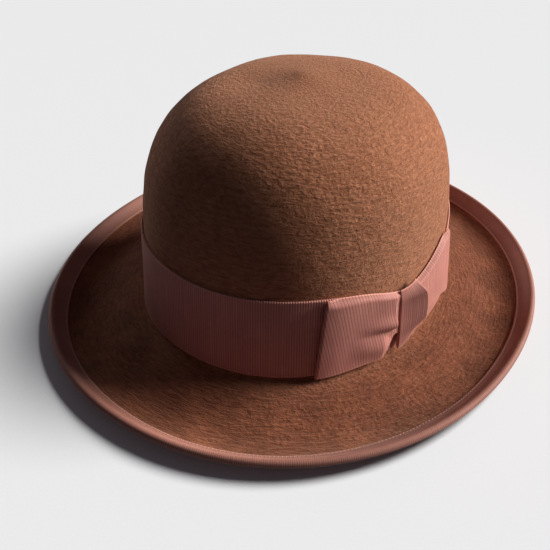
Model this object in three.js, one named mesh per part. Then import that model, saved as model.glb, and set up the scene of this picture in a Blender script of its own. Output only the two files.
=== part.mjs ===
// A felt bowler hat with a ribbon band and bow, a bound brim, a leather sweatband and a satin lining.
// Units are millimetres. +Z is up, the wearer looks along -Y, and +X is on the wearer's left.
// The origin is on the surface that the brim rests on, under the middle of the crown.
import * as THREE from "three";
import { mergeVertices } from "three/addons/utils/BufferGeometryUtils.js";

// The oval of the head, measured on the outside of the felt where the crown meets the brim.
const HALF_LENGTH = 99.5;
const HALF_WIDTH = 87.5;
const OVAL_POWER = 2.1; // 2 is an ellipse, and a little more fills the corners out

// The crown rises from the break, the line where it meets the brim.
const BREAK_HEIGHT = 8.3;
const CROWN_HEIGHT = 131.5;
const CROWN_TAPER = 0.08;
const CROWN_SHOULDER_POWER = 6.2;
const CROWN_TOP_POWER = 2.1;
const TIP_HOLLOW = 2.1; // the top is a shallow cone: a third of the way out it is this far below a round dome
const TIP_SCALE = 0.66; // the cone's width against the crown's at the break
const FELT = 2.5;
const BREAK_FILLET = 2;

// The brim falls away from the break, levels out where it rests, and curls up at its edge.
const BRIM_REACH = 54;
const BRIM_DIP = 6.5;
const BRIM_DIP_END = 0.7; // share of the reach at which the brim has levelled out
const BRIM_CURL = 8.4;
const BRIM_CURL_POWER = 10;
const BRIM_END_LIFT = 1; // the front and the back curl this much more than the mean, the sides less

// Ribbons, leather and satin.
const GAP = 0.3; // clearance between neighbouring pieces
const RIBBON = 0.8;
const BAND_WIDTH = 47.5;
const BINDING_WIDTH = 7.5;
const LEATHER = 1.1;
const SATIN = 0.6;
const SWEATBAND_TOP = 41;
const CORD_RADIUS = 1.2;

// The bow is centred a little ahead of the wearer's left, and is gathered in from above and below.
const BOW_ANGLE = 78;
const LOOP_REACH = { front: 33, rear: 28.5 };
const LOOP_TUCK = { front: [6, 12], rear: [14, 32] }; // where a loop's foot rises, in degrees from the knot
const LOOP_TUCK_RISE = 11;
const LOOP_THICKNESS = 1.9;
const LOOP_FOOT = 3;
const LOOP_TOP = 50;
const FOLD_LEAN = 3; // degrees from a fold's foot to its top
const KNOT_HALF_ANGLE = 5;
const KNOT_FOOT = { front: 2.8, rear: 11 };
const KNOT_LIFT = { front: 0, rear: 3.5 }; // of its top, above the loops' top edges
const KNOT_TILT = 4.5; // the knot's rear edge stands this much further out than its front edge
const GATHER = {
  band: { depth: 15.5, angle: 84, front: 20.5, rear: 25 },
  bow: { depth: 12.3, angle: 80.5, front: 17, rear: 17 },
};
const BACK_ANGLE = 180;

const SIDES = 48;
const FULL_TURN = 360;

const SKIN_OFFSET = GAP + RIBBON; // from one ribbon's inner face to the next one's
const EDGE_RADIUS = FELT / 2 + GAP;

// Shares of the brim's reach: the felt and its binding turn up through the same rings.
const flatShares = steps(BREAK_FILLET / BRIM_REACH, 1 - BINDING_WIDTH / BRIM_REACH, 6).slice(1);
const curlShares = steps(1 - BINDING_WIDTH / BRIM_REACH, 1, 3);

function radians(degrees) {
  return THREE.MathUtils.degToRad(degrees);
}

function signedPower(value, power) {
  return Math.sign(value) * Math.abs(value) ** power;
}

// A point seen from above: the head oval, scaled, and then moved out along its own normal.
function ovalPoint(angle, out, height, scale = 1) {
  const sine = Math.sin(radians(angle));
  const cosine = Math.cos(radians(angle));
  const normal = new THREE.Vector2(sine / HALF_WIDTH, -cosine / HALF_LENGTH).normalize();
  const x = HALF_WIDTH * signedPower(sine, 2 / OVAL_POWER) * scale + normal.x * out;
  const y = -HALF_LENGTH * signedPower(cosine, 2 / OVAL_POWER) * scale + normal.y * out;
  return new THREE.Vector3(x, y, height);
}

// How wide the crown is at a share of its height, against its width at the break.
function crownScale(share) {
  const upTo = Math.min(Math.max(share, 0), 1);
  return (1 - CROWN_TAPER * upTo) * (1 - upTo ** CROWN_SHOULDER_POWER) ** (1 / CROWN_TOP_POWER);
}

// A point at a rise above the break and at a distance out from the outside of the crown's wall.
function onCrown(angle, out, rise) {
  return ovalPoint(angle, out, BREAK_HEIGHT + rise, crownScale(rise / CROWN_HEIGHT));
}

// The shares of the crown's height at which its rings lie, close together where it turns over.
// The felt and the lining share them, so their faces stay parallel.
const CROWN_RINGS = 11;
const crownShares = steps(0, 1, CROWN_RINGS).slice(1).map((step) => {
  return Math.sin((Math.PI / 2) * step ** 2) ** (2 / CROWN_SHOULDER_POWER);
});

// How far the cone at the top of the crown lies below a round dome.
function tipHollow(scale) {
  const away = Math.min(scale / TIP_SCALE, 1);
  return TIP_HOLLOW * 6.75 * away * (1 - away) ** 2;
}

// A ring point of a dome that lies a distance inside the crown and shares its shape.
function onDome(angle, inset, share) {
  const scale = crownScale(share);
  const shrink = 1 - (2 * inset) / (HALF_LENGTH + HALF_WIDTH);
  const height = BREAK_HEIGHT + share * (CROWN_HEIGHT - inset) - tipHollow(scale);
  return ovalPoint(angle, 0, height, scale * shrink);
}

// The brim's middle surface at a share of its reach, as distance out and height above the break.
function brimMiddle(angle, share) {
  const settle = Math.min(share / BRIM_DIP_END, 1);
  const dip = (BRIM_DIP * (1 - Math.cos(Math.PI * settle))) / 2;
  const curl = BRIM_CURL + BRIM_END_LIFT * Math.cos(radians(2 * angle));
  return new THREE.Vector2(share * BRIM_REACH, -FELT / 2 - dip + curl * share ** BRIM_CURL_POWER);
}

// A point of the brim's section, turned about its middle surface: 90 is the top face, -90 the underside.
function aroundBrim(angle, share, radius, turn) {
  const step = 0.01;
  const here = brimMiddle(angle, share);
  const along = here.clone().sub(brimMiddle(angle, share - step)).normalize();
  const across = new THREE.Vector2(-along.y, along.x);
  const out = along.multiplyScalar(radius * Math.cos(radians(turn)));
  const point = here.add(out).add(across.multiplyScalar(radius * Math.sin(radians(turn))));
  return ovalPoint(angle, point.x, Math.max(BREAK_HEIGHT + point.y, 0));
}

// Joins rings of points into one closed surface. A full turn closes on itself, an arc gets end caps.
function sweep(section, from = 0, to = FULL_TURN, steps = SIDES) {
  const fullTurn = to - from === FULL_TURN;
  const ringCount = fullTurn ? steps : steps + 1;
  const rings = Array.from({ length: ringCount }, (_, ring) => section(from + ((to - from) * ring) / steps));
  const count = rings[0].length;
  const index = [];
  for (let ring = 0; ring < steps; ring += 1) {
    const next = (ring + 1) % ringCount;
    for (let point = 0; point < count; point += 1) {
      const beside = (point + 1) % count;
      const corners = [ring * count + point, next * count + point, next * count + beside, ring * count + beside];
      index.push(corners[0], corners[1], corners[2], corners[0], corners[2], corners[3]);
    }
  }
  if (!fullTurn) {
    const last = (ringCount - 1) * count;
    for (const [a, b, c] of capTriangles(rings[0])) {
      index.push(a, b, c, last + c, last + b, last + a);
    }
  }
  return closedGeometry(rings.flat(), index);
}

// Triangles over one ring, found in the plane that looks along the ring's own tangent.
function capTriangles(ring) {
  const flat = ring.map((point) => new THREE.Vector2(Math.hypot(point.x, point.y), point.z));
  const triangles = THREE.ShapeUtils.triangulateShape(flat, []);
  return triangles.map(([a, b, c]) => {
    const turn = flat[b].clone().sub(flat[a]).cross(flat[c].clone().sub(flat[a]));
    return turn > 0 ? [a, b, c] : [a, c, b];
  });
}

// Drops the triangles that fall flat where a ring shrinks to one point on the axis.
function closedGeometry(points, index) {
  const geometry = new THREE.BufferGeometry().setFromPoints(points);
  geometry.setIndex(index);
  const merged = mergeVertices(geometry, 0.001);
  const corners = merged.index.array;
  const kept = [];
  for (let i = 0; i < corners.length; i += 3) {
    const [a, b, c] = corners.slice(i, i + 3);
    if (a !== b && b !== c && c !== a) {
      kept.push(a, b, c);
    }
  }
  merged.setIndex(kept);
  merged.computeVertexNormals();
  return merged;
}

function steps(from, to, count) {
  return Array.from({ length: count + 1 }, (_, step) => from + ((to - from) * step) / count);
}

// A strip that lies against the crown between two rises, listed from the outer face's foot upwards.
function crownStrip(angle, inner, thickness, bottom, top, levels = 2) {
  const rises = steps(bottom, top, levels);
  const outerFace = rises.map((rise) => onCrown(angle, inner + thickness, rise));
  const innerFace = rises.toReversed().map((rise) => onCrown(angle, inner, rise));
  return [...outerFace, ...innerFace];
}

// A round cord in section about its middle, in a plane through the hat's axis.
function cordSection(middle) {
  const outwards = new THREE.Vector3(middle.x, middle.y, 0).normalize();
  const upwards = new THREE.Vector3(0, 0, 1);
  return steps(0, FULL_TURN, 8).slice(1).map((turn) => {
    const point = middle.clone().addScaledVector(outwards, CORD_RADIUS * Math.cos(radians(turn)));
    return point.addScaledVector(upwards, CORD_RADIUS * Math.sin(radians(turn)));
  });
}

// A point on the flat facets between the crown's rings: 5.5 is half-way between rings 5 and 6.
function onFacet(angle, inset, ring) {
  const below = onDome(angle, inset, crownShares[Math.floor(ring)]);
  const above = onDome(angle, inset, crownShares[Math.ceil(ring)]);
  return below.lerp(above, ring - Math.floor(ring));
}

// A shell inside the crown, through some of its rings, a distance inside the outer face.
function crownShell(angle, inset, thickness, rings) {
  return [
    ...rings.toReversed().map((ring) => onFacet(angle, inset, ring)),
    ...rings.map((ring) => onFacet(angle, inset + thickness, ring)),
  ].toReversed();
}

const material = {
  felt: { color: "#9a6247", roughness: 0.95 },
  ribbon: { color: "#9c6b63", roughness: 0.7 },
  leather: { color: "#6b432a", roughness: 0.55 },
  satin: { color: "#7d5446", roughness: 0.35 },
  clear: { color: "#d9d2c8", roughness: 0.1 },
  paper: { color: "#e6dfd0", roughness: 0.8 },
};

const hat = new THREE.Group();

function addPiece(name, finish, geometry) {
  const look = new THREE.MeshStandardMaterial({ ...material[finish], metalness: 0 });
  const piece = new THREE.Mesh(geometry, look);
  piece.name = name;
  hat.add(piece);
}

// One blocked body of felt: crown and brim, down the outside, round the edge and up the inside.
function feltBody() {
  const filletTurns = steps(0, 90, 2).slice(1);
  const brimShares = [...flatShares, ...curlShares.slice(1)];
  const edgeTurns = steps(90, -90, 4).slice(1, -1);
  const innerFoot = -FELT;
  return sweep((angle) => [
    ...crownShares.toReversed().map((share) => onDome(angle, 0, share)),
    onCrown(angle, 0, BREAK_FILLET),
    ...filletTurns.map((turn) => {
      const out = BREAK_FILLET * (1 - Math.cos(radians(turn)));
      return ovalPoint(angle, out, BREAK_HEIGHT + BREAK_FILLET * (1 - Math.sin(radians(turn))));
    }),
    ...brimShares.map((share) => aroundBrim(angle, share, FELT / 2, 90)),
    ...edgeTurns.map((turn) => aroundBrim(angle, 1, FELT / 2, turn)),
    ...brimShares.toReversed().map((share) => aroundBrim(angle, share, FELT / 2, -90)),
    ovalPoint(angle, innerFoot, BREAK_HEIGHT - FELT),
    ...crownShares.map((share) => onDome(angle, FELT, share)),
  ].toReversed());
}

// Grosgrain folded over the brim's edge: out along the underside, round the edge, back over the top.
function brimBinding() {
  const edge = steps(-90, 90, 4);
  const legShares = curlShares.slice(0, -1);
  const face = (angle, radius) => [
    ...legShares.map((share) => aroundBrim(angle, share, radius, -90)),
    ...edge.map((turn) => aroundBrim(angle, 1, radius, turn)),
    ...legShares.toReversed().map((share) => aroundBrim(angle, share, radius, 90)),
  ];
  return sweep((angle) => [...face(angle, EDGE_RADIUS + RIBBON), ...face(angle, EDGE_RADIUS).toReversed()]);
}

// The short lap of ribbon over the joined ends of the binding, at the back.
function bindingJoin() {
  const halfAngle = 2;
  const inner = EDGE_RADIUS + RIBBON + GAP;
  return sweep(
    (angle) => [
      ...curlShares.map((share) => aroundBrim(angle, share, inner, 90)),
      ...curlShares.toReversed().map((share) => aroundBrim(angle, share, inner + RIBBON, 90)),
    ],
    BACK_ANGLE - halfAngle,
    BACK_ANGLE + halfAngle,
    4,
  );
}

const bandBottom = BREAK_FILLET;
const bandTop = bandBottom + BAND_WIDTH;

function sideOfBow(angle) {
  return angle < BOW_ANGLE ? "front" : "rear";
}

// How far the knot draws a ribbon's top edge down at an angle.
function drawnDown(angle, gather) {
  const reach = angle < gather.angle ? gather.front : gather.rear;
  return gather.depth * Math.exp(-(((angle - gather.angle) / reach) ** 2));
}

function bowTop(angle) {
  return LOOP_TOP - drawnDown(angle, GATHER.bow);
}

function bowFoot(angle) {
  const spread = THREE.MathUtils.smoothstep(Math.abs(angle - BOW_ANGLE), ...LOOP_TUCK[sideOfBow(angle)]);
  return LOOP_FOOT + LOOP_TUCK_RISE * (1 - spread);
}

function hatBand() {
  return sweep((angle) => {
    const top = bandTop - drawnDown(angle, GATHER.band);
    return crownStrip(angle, GAP, RIBBON, bandBottom, top, 3);
  });
}

// The flat pad of ribbon between the band and the bow.
function bowBase() {
  const inset = 5;
  const margin = 4;
  const section = (angle) =>
    crownStrip(angle, GAP + SKIN_OFFSET, RIBBON, bowFoot(angle) + margin, bowTop(angle) - margin, 3);
  return sweep(section, BOW_ANGLE - LOOP_REACH.front + inset, BOW_ANGLE + LOOP_REACH.rear - inset, 20);
}

// A flattened loop of ribbon: full width at its leaning fold, gathered in towards the knot.
function bowLoop(side) {
  const halfGap = 0.3;
  const outwards = side === "front" ? -1 : 1;
  const inner = GAP + 2 * SKIN_OFFSET;
  const levels = 3;
  const section = (angle) => {
    const away = Math.abs(angle - BOW_ANGLE) / LOOP_REACH[side];
    const foot = bowFoot(angle);
    const top = bowTop(angle);
    const lean = (share) => angle - outwards * FOLD_LEAN * away * (share - 0.5);
    const point = (out) => (share) => onCrown(lean(share), out, THREE.MathUtils.lerp(foot, top, share));
    const shares = steps(0, 1, levels);
    return [...shares.map(point(inner + LOOP_THICKNESS)), ...shares.toReversed().map(point(inner))];
  };
  const start = BOW_ANGLE + outwards * halfGap;
  const end = BOW_ANGLE + outwards * LOOP_REACH[side];
  return sweep(section, Math.min(start, end), Math.max(start, end), 12);
}

// The ribbon wrapped round the waist of the bow: a swelling face with lips over the loops' edges.
function bowKnot() {
  const wrap = 0.8;
  const swell = 0.8;
  const lip = GAP + 2 * SKIN_OFFSET;
  const face = lip + LOOP_THICKNESS + GAP;
  const shares = steps(0, 1, 6);
  const section = (angle) => {
    const across = (angle - BOW_ANGLE + KNOT_HALF_ANGLE) / (2 * KNOT_HALF_ANGLE);
    const foot = THREE.MathUtils.lerp(KNOT_FOOT.front, KNOT_FOOT.rear, across);
    const lift = THREE.MathUtils.lerp(KNOT_LIFT.front, KNOT_LIFT.rear, across);
    const top = bowTop(angle) + GAP + wrap + lift;
    const proud = face + wrap + KNOT_TILT * across;
    const outer = (share) => {
      const out = proud + swell * (1 - (2 * share - 1) ** 4);
      return onCrown(angle, out, THREE.MathUtils.lerp(foot, top, share));
    };
    const inner = (share) => onCrown(angle, face, THREE.MathUtils.lerp(foot + wrap, top - wrap, share));
    return [
      onCrown(angle, lip, foot),
      ...shares.map(outer),
      onCrown(angle, lip, top),
      onCrown(angle, lip, top - wrap),
      ...shares.toReversed().map(inner),
      onCrown(angle, lip, foot + wrap),
    ];
  };
  return sweep(section, BOW_ANGLE - KNOT_HALF_ANGLE, BOW_ANGLE + KNOT_HALF_ANGLE, 8);
}

// Inside the head opening, each piece lies just inside the one before it.
const liningInset = FELT + 0.5;
const sweatbandOut = -(liningInset + SATIN + 2 * GAP) - LEATHER;
const insideFace = sweatbandOut - GAP;
const reedHeight = BREAK_HEIGHT - FELT + CORD_RADIUS;
const SEAM_RING = 5.5; // the lining's seam lies between two of the crown's rings
const SEAM_HALF = 0.14; // half the space that the piping takes, as a share of the distance between them
const tipRing = crownShares.length - 1;

function sweatband() {
  const foot = CORD_RADIUS * 2 + GAP - FELT;
  return sweep((angle) => crownStrip(angle, sweatbandOut, LEATHER, foot, SWEATBAND_TOP, 3));
}

// The piping cord that stiffens the sweatband's lower edge.
function sweatbandReed() {
  return sweep((angle) => cordSection(ovalPoint(angle, -FELT - GAP - CORD_RADIUS, reedHeight)));
}

function liningSide() {
  const rings = [...steps(0, Math.floor(SEAM_RING), Math.floor(SEAM_RING)), SEAM_RING - SEAM_HALF];
  return sweep((angle) => crownShell(angle, liningInset, SATIN, rings));
}

// The covered cord in the seam between the lining's side and its tip.
function liningPiping() {
  return sweep((angle) => cordSection(onFacet(angle, liningInset + CORD_RADIUS, SEAM_RING)));
}

function liningTip() {
  const first = Math.ceil(SEAM_RING);
  const rings = [SEAM_RING + SEAM_HALF, ...steps(first, tipRing, tipRing - first)];
  return sweep((angle) => crownShell(angle, liningInset, SATIN, rings));
}

// The clear patch that keeps the crown's dressing off the middle of the lining.
function tipGuard() {
  const inset = liningInset + SATIN + GAP;
  return sweep((angle) => crownShell(angle, inset, 0.4, steps(tipRing - 2, tipRing, 2)));
}

function sizeTab() {
  const section = (angle) => crownStrip(angle, insideFace - 0.5, 0.5, 10, 22, 1);
  return sweep(section, BACK_ANGLE + 12, BACK_ANGLE + 24, 3);
}

// One half of the small flat bow over the sweatband's seam at the back.
function backBowHalf(side) {
  const nearEdge = 1.6;
  const farEdge = 8;
  const thickness = 1.2;
  const section = (angle) => {
    const away = Math.abs(angle - BACK_ANGLE) / farEdge;
    const half = THREE.MathUtils.lerp(2, 4, away);
    return crownStrip(angle, insideFace - thickness, thickness, 6 - half, 6 + half, 1);
  };
  const ends = [BACK_ANGLE + side * nearEdge, BACK_ANGLE + side * farEdge];
  return sweep(section, Math.min(...ends), Math.max(...ends), 3);
}

function backBowKnot() {
  const section = (angle) => crownStrip(angle, insideFace - 1.8, 1.8, 3.4, 8.6, 1);
  return sweep(section, BACK_ANGLE - 1.3, BACK_ANGLE + 1.3, 2);
}

addPiece("felt_body", "felt", feltBody());
addPiece("brim_binding", "ribbon", brimBinding());
addPiece("binding_join", "ribbon", bindingJoin());
addPiece("hat_band", "ribbon", hatBand());
addPiece("bow_base", "ribbon", bowBase());
addPiece("bow_front_loop", "ribbon", bowLoop("front"));
addPiece("bow_rear_loop", "ribbon", bowLoop("rear"));
addPiece("bow_knot", "ribbon", bowKnot());
addPiece("sweatband", "leather", sweatband());
addPiece("sweatband_reed", "leather", sweatbandReed());
addPiece("lining_side", "satin", liningSide());
addPiece("lining_piping", "satin", liningPiping());
addPiece("lining_tip", "satin", liningTip());
addPiece("tip_guard", "clear", tipGuard());
addPiece("size_tab", "paper", sizeTab());
addPiece("back_bow_left", "ribbon", backBowHalf(-1));
addPiece("back_bow_right", "ribbon", backBowHalf(1));
addPiece("back_bow_knot", "ribbon", backBowKnot());

export default hat;
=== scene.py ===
"""Looks of a felt bowler hat: grosgrain band and bow, bound brim, leather sweatband and satin lining."""

import math

import bmesh
import bpy
import numpy as np
from mathutils import Matrix, Vector


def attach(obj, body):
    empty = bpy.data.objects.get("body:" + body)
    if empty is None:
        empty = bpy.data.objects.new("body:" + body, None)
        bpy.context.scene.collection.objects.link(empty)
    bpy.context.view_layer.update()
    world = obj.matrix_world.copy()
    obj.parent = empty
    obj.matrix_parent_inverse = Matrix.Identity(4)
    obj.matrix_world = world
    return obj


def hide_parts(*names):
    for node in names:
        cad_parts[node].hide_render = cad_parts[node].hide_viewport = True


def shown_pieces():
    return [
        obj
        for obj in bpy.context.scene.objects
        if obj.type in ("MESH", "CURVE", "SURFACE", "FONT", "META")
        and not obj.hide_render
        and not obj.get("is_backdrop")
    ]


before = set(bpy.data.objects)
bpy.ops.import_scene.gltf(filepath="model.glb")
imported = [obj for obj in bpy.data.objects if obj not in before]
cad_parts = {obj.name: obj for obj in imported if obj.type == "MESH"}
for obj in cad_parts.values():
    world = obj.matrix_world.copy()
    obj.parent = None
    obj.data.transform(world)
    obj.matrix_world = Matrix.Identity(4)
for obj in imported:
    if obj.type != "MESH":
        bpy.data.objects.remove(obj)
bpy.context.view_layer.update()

MM = 0.001

# The hat's own dimensions in millimetres, the same as the CAD's. Angles are degrees from the front
# towards the wearer's left, and a rise is a height above the break, where the crown meets the brim.
HALF_LENGTH, HALF_WIDTH, OVAL_POWER = 99.5, 87.5, 2.1
BREAK_HEIGHT, CROWN_HEIGHT = 8.3, 131.5
CROWN_TAPER, CROWN_SHOULDER_POWER, CROWN_TOP_POWER = 0.08, 6.2, 2.1
FELT, BREAK_FILLET = 2.5, 2.0
BRIM_REACH, BRIM_DIP, BRIM_DIP_END = 54.0, 6.5, 0.7
BRIM_CURL, BRIM_CURL_POWER, BRIM_END_LIFT = 8.4, 10.0, 1.0
GAP, RIBBON, LEATHER, SATIN = 0.3, 0.8, 1.1, 0.6
BAND_WIDTH, BINDING_WIDTH = 47.5, 7.5
SWEATBAND_TOP, CORD_RADIUS = 41.0, 1.2
TIP_HOLLOW, TIP_SCALE = 2.1, 0.66
TIP_DENTS = ((-22.0, -16.0, 1.8), (23.0, 16.0, 1.4))  # x, y and depth of each
TIP_DENT_WIDTH = 16.0
BAND_BOTTOM = BREAK_FILLET
BAND_TOP = BAND_BOTTOM + BAND_WIDTH

# The bow. A gather is how far the knot draws a top edge down: depth, angle, reach before and reach behind.
# An out is a distance from the crown's wall to the middle of a layer of ribbon.
BOW_ANGLE, BACK_ANGLE = 78.0, 180.0
FRONT_FOLD, REAR_FOLD, FOLD_LEAN = 45.0, 106.5, 3.0
LOOP_FOOT, LOOP_TOP, LOOP_TUCK_RISE = 3.0, 50.0, 11.0
BAND_GATHER = (15.5, 84.0, 20.5, 25.0)
BOW_GATHER = (12.3, 80.5, 17.0, 17.0)
PAD_OUT, LOOP_BACK_OUT = 1.75, 2.75

# The inside. An inset is a distance in from the outside of the felt, and an out below 0 is one too.
LINING_INSET = FELT + 0.5
SWEATBAND_OUT = -(LINING_INSET + SATIN + 2 * GAP) - LEATHER
INSIDE_FACE = SWEATBAND_OUT - GAP
LINING_FOOT, LINING_SEAM, TIP_GUARD_EDGE = 0.26, 0.811, 0.955  # shares of the crown's height
LINING_PUCKERS, CORD_COLUMNS = 96, 900
INNER_BOW_RISE = 6.0

WALL_LENGTH = 185.0  # from the tip down to the foot of the wall, over the felt

# Grosgrain: rounded ribs across the ribbon, with a fine groove between each two.
BAND_RIB, LOOP_RIB, BINDING_RIB, INNER_RIB = 1.33, 1.75, 1.02, 0.9
RIB_SAMPLES = 4
CLOTH = 0.45  # thickness of the ribbon between its ribs

# Colours as linear red, green and blue, the darker of each pair first.
FELT_BROWNS = (0.32, 0.113, 0.05), (0.4, 0.153, 0.074)
FELT_MOTTLE, FELT_SHADE, FELT_FLECK = (0.42, 0.18, 0.1), (0.24, 0.082, 0.038), (0.55, 0.3, 0.19)
# Multipliers that paint shade on the brim's felt, darker and redder than the crown's.
BRIM_PAINTED_SHADE_TINTS = (0.46, 0.36, 0.34), (0.72, 0.6, 0.58)
RIBBON_PINKS = (0.42, 0.16, 0.14), (0.62, 0.28, 0.22)
BINDING_PINKS = (0.32, 0.13, 0.1), (0.46, 0.22, 0.17)
INNER_BOW_PINKS = (0.2, 0.085, 0.07), (0.3, 0.14, 0.11)
LEATHER_BROWNS = (0.2, 0.085, 0.04), (0.3, 0.14, 0.07)
REED_BROWNS = (0.1, 0.042, 0.024), (0.16, 0.07, 0.04)
SATIN_BROWNS, SATIN_THREAD = ((0.24, 0.125, 0.085), (0.33, 0.19, 0.135)), (0.4, 0.24, 0.18)
THREAD_PINKS = (0.36, 0.19, 0.14), (0.62, 0.42, 0.34)
PAPERS = (0.7, 0.65, 0.53), (0.8, 0.76, 0.66)
FLOOR_GREYS = (0.83, 0.83, 0.83), (0.86, 0.86, 0.86)


# ---------------------------------------------------------------- shape of the hat


def signed_power(value, power):
    return np.sign(value) * np.abs(value) ** power


def oval(angle, out=0.0, height=0.0, scale=1.0):
    """Points on the head oval, scaled about its middle and then moved out along its own normal."""
    turn = np.radians(angle)
    sine, cosine = np.sin(turn), np.cos(turn)
    across, along = sine / HALF_WIDTH, -cosine / HALF_LENGTH
    length = np.hypot(across, along)
    x = HALF_WIDTH * signed_power(sine, 2 / OVAL_POWER) * scale + across / length * out
    y = -HALF_LENGTH * signed_power(cosine, 2 / OVAL_POWER) * scale + along / length * out
    return np.stack(np.broadcast_arrays(x, y, height), axis=-1)


def walk_round(out):
    """Angles round the oval and the length walked to each, at a distance out from the head oval."""
    angles = np.linspace(0, 360, 3601)
    steps = np.linalg.norm(np.diff(oval(angles, out), axis=0), axis=1)
    return angles, np.concatenate([[0], np.cumsum(steps)])


HEAD_WALK = walk_round(0)
EDGE_WALK = walk_round(BRIM_REACH)
HEAD_ROUND = HEAD_WALK[1][-1]
EDGE_ROUND = EDGE_WALK[1][-1]


def angle_at(arc, walk=HEAD_WALK):
    angles, lengths = walk
    whole = lengths[-1]
    return np.interp(np.mod(arc, whole), lengths, angles) + 360 * np.floor_divide(arc, whole)


def arc_at(angle):
    return np.interp(angle, *HEAD_WALK)


def crown_scale(share):
    share = np.clip(share, 0, 1)
    return (1 - CROWN_TAPER * share) * (1 - share**CROWN_SHOULDER_POWER) ** (1 / CROWN_TOP_POWER)


def on_crown(angle, out, rise):
    return oval(angle, out, BREAK_HEIGHT + rise, crown_scale(rise / CROWN_HEIGHT))


def on_dome(angle, inset, share):
    """A point of a dome inside the crown, whose top is a shallow cone rather than round."""
    scale = crown_scale(share)
    shrink = 1 - 2 * inset / (HALF_LENGTH + HALF_WIDTH)
    away = np.minimum(scale / TIP_SCALE, 1)
    hollow = TIP_HOLLOW * 6.75 * away * (1 - away) ** 2
    return oval(angle, 0, BREAK_HEIGHT + share * (CROWN_HEIGHT - inset) - hollow, scale * shrink)


def brim_middle(angle, share):
    """Distance out and height above the break of the middle of the brim's felt."""
    settle = np.minimum(share / BRIM_DIP_END, 1)
    dip = BRIM_DIP * (1 - np.cos(np.pi * settle)) / 2
    curl = BRIM_CURL + BRIM_END_LIFT * np.cos(np.radians(2 * angle))
    return share * BRIM_REACH, -FELT / 2 - dip + curl * share**BRIM_CURL_POWER


def around_brim(angle, share, radius, turn):
    """A point beside the brim's middle: turn 90 is over the top face, 0 beyond the edge, -90 underneath."""
    step = 0.01
    out, height = brim_middle(angle, share)
    out_before, height_before = brim_middle(angle, share - step)
    run, climb = out - out_before, height - height_before
    length = np.hypot(run, climb)
    run, climb = run / length, climb / length
    cosine, sine = np.cos(np.radians(turn)), np.sin(np.radians(turn))
    out = out + radius * (run * cosine - climb * sine)
    height = height + radius * (climb * cosine + run * sine)
    return oval(angle, out, np.maximum(BREAK_HEIGHT + height, 0))


def crown_shares(count):
    """Shares of the crown's height, from the tip down to the break, closer together where it turns over."""
    step = np.linspace(1, 0, count + 1)
    return np.sin(np.pi / 2 * step**2) ** (2 / CROWN_SHOULDER_POWER)


def waves(points, wavelength, seed, count=7):
    """Smooth, uneven relief from -1 to 1 with bumps about a wavelength across."""
    draw = np.random.default_rng(seed)
    directions = draw.normal(size=(count, 3))
    directions /= np.linalg.norm(directions, axis=1, keepdims=True)
    lengths = wavelength * draw.uniform(0.7, 1.5, count)
    phases = draw.uniform(0, 2 * np.pi, count)
    turns = points @ (directions * (2 * np.pi / lengths)[:, None]).T + phases
    return np.sin(turns).sum(axis=-1) / math.sqrt(count)


def smooth_step(value, low, high):
    share = np.clip((value - low) / (high - low), 0, 1)
    return share * share * (3 - 2 * share)


def hump(value, middle, width):
    return np.exp(-(((value - middle) / width) ** 2))


def blend(first, second, share):
    return first + (second - first) * share


def drawn_down(angle, depth, middle, before, behind):
    """How far the knot draws an edge down at an angle."""
    reach = np.where(angle < middle, before, behind)
    return depth * np.exp(-(((angle - middle) / reach) ** 2))


def band_top(angle):
    return BAND_TOP - drawn_down(angle, *BAND_GATHER)


def bow_top(angle):
    return LOOP_TOP - drawn_down(angle, *BOW_GATHER)


def bow_foot(angle):
    """The bow's lower edge, which rises close to the knot in front of it, and gradually behind it."""
    ahead = 1 - smooth_step(BOW_ANGLE - angle, 6, 12)
    behind = 1 - smooth_step(angle - BOW_ANGLE, 14, 32)
    return LOOP_FOOT + LOOP_TUCK_RISE * np.where(angle < BOW_ANGLE, ahead, behind)


def rib(phase):
    """Height of a rounded rib from 0 in the groove to 1 on its crest. The phase counts ribs."""
    return np.abs(np.sin(np.pi * phase)) ** 0.6


# ---------------------------------------------------------------- mesh building


def grid_normals(points, wrap=False):
    """Unit normals of a grid of points, from its neighbours along each way."""
    if wrap:
        along = np.roll(points, -1, axis=1) - np.roll(points, 1, axis=1)
    else:
        along = np.gradient(points, axis=1)
    across = np.gradient(points, axis=0)
    normals = np.cross(along, across)
    return normals / np.maximum(np.linalg.norm(normals, axis=-1, keepdims=True), 1e-12)


def cells(rows, columns):
    """The four corners of each cell of a grid, as (row, column) pairs in order round the cell."""
    row, column = np.meshgrid(np.arange(rows), np.arange(columns), indexing="ij")
    corners = [(row, column), (row, column + 1), (row + 1, column + 1), (row + 1, column)]
    return np.stack([np.stack(corner, axis=-1) for corner in corners], axis=-2).reshape(-1, 4, 2)


def on_side(side, corners):
    """Marks corners as on the front of a sheet, side 0, or on its back, side 1."""
    return np.concatenate([np.full((*corners.shape[:-1], 1), side), corners], axis=-1)


def edge_cells(rows, columns, wrap, pole):
    """The cells that join a sheet's front to its back at its edges. A pole is a first row of no length."""
    across = np.arange(columns + 1)
    down = np.arange(rows + 1)
    top = np.stack([np.zeros_like(across), across], axis=-1)
    foot = np.stack([np.full_like(across, rows), across], axis=-1)
    runs = [(foot[1:], foot[:-1])]
    if not pole:
        runs += [(top[:-1], top[1:])]
    if not wrap:
        left = np.stack([down, np.zeros_like(down)], axis=-1)
        right = np.stack([down, np.full_like(down, columns)], axis=-1)
        runs += [(left[1:], left[:-1]), (right[:-1], right[1:])]
    joined = []
    for start, end in runs:
        corners = [on_side(0, end), on_side(0, start), on_side(1, start), on_side(1, end)]
        joined.append(np.stack(corners, axis=-2))
    return np.concatenate(joined)


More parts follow.
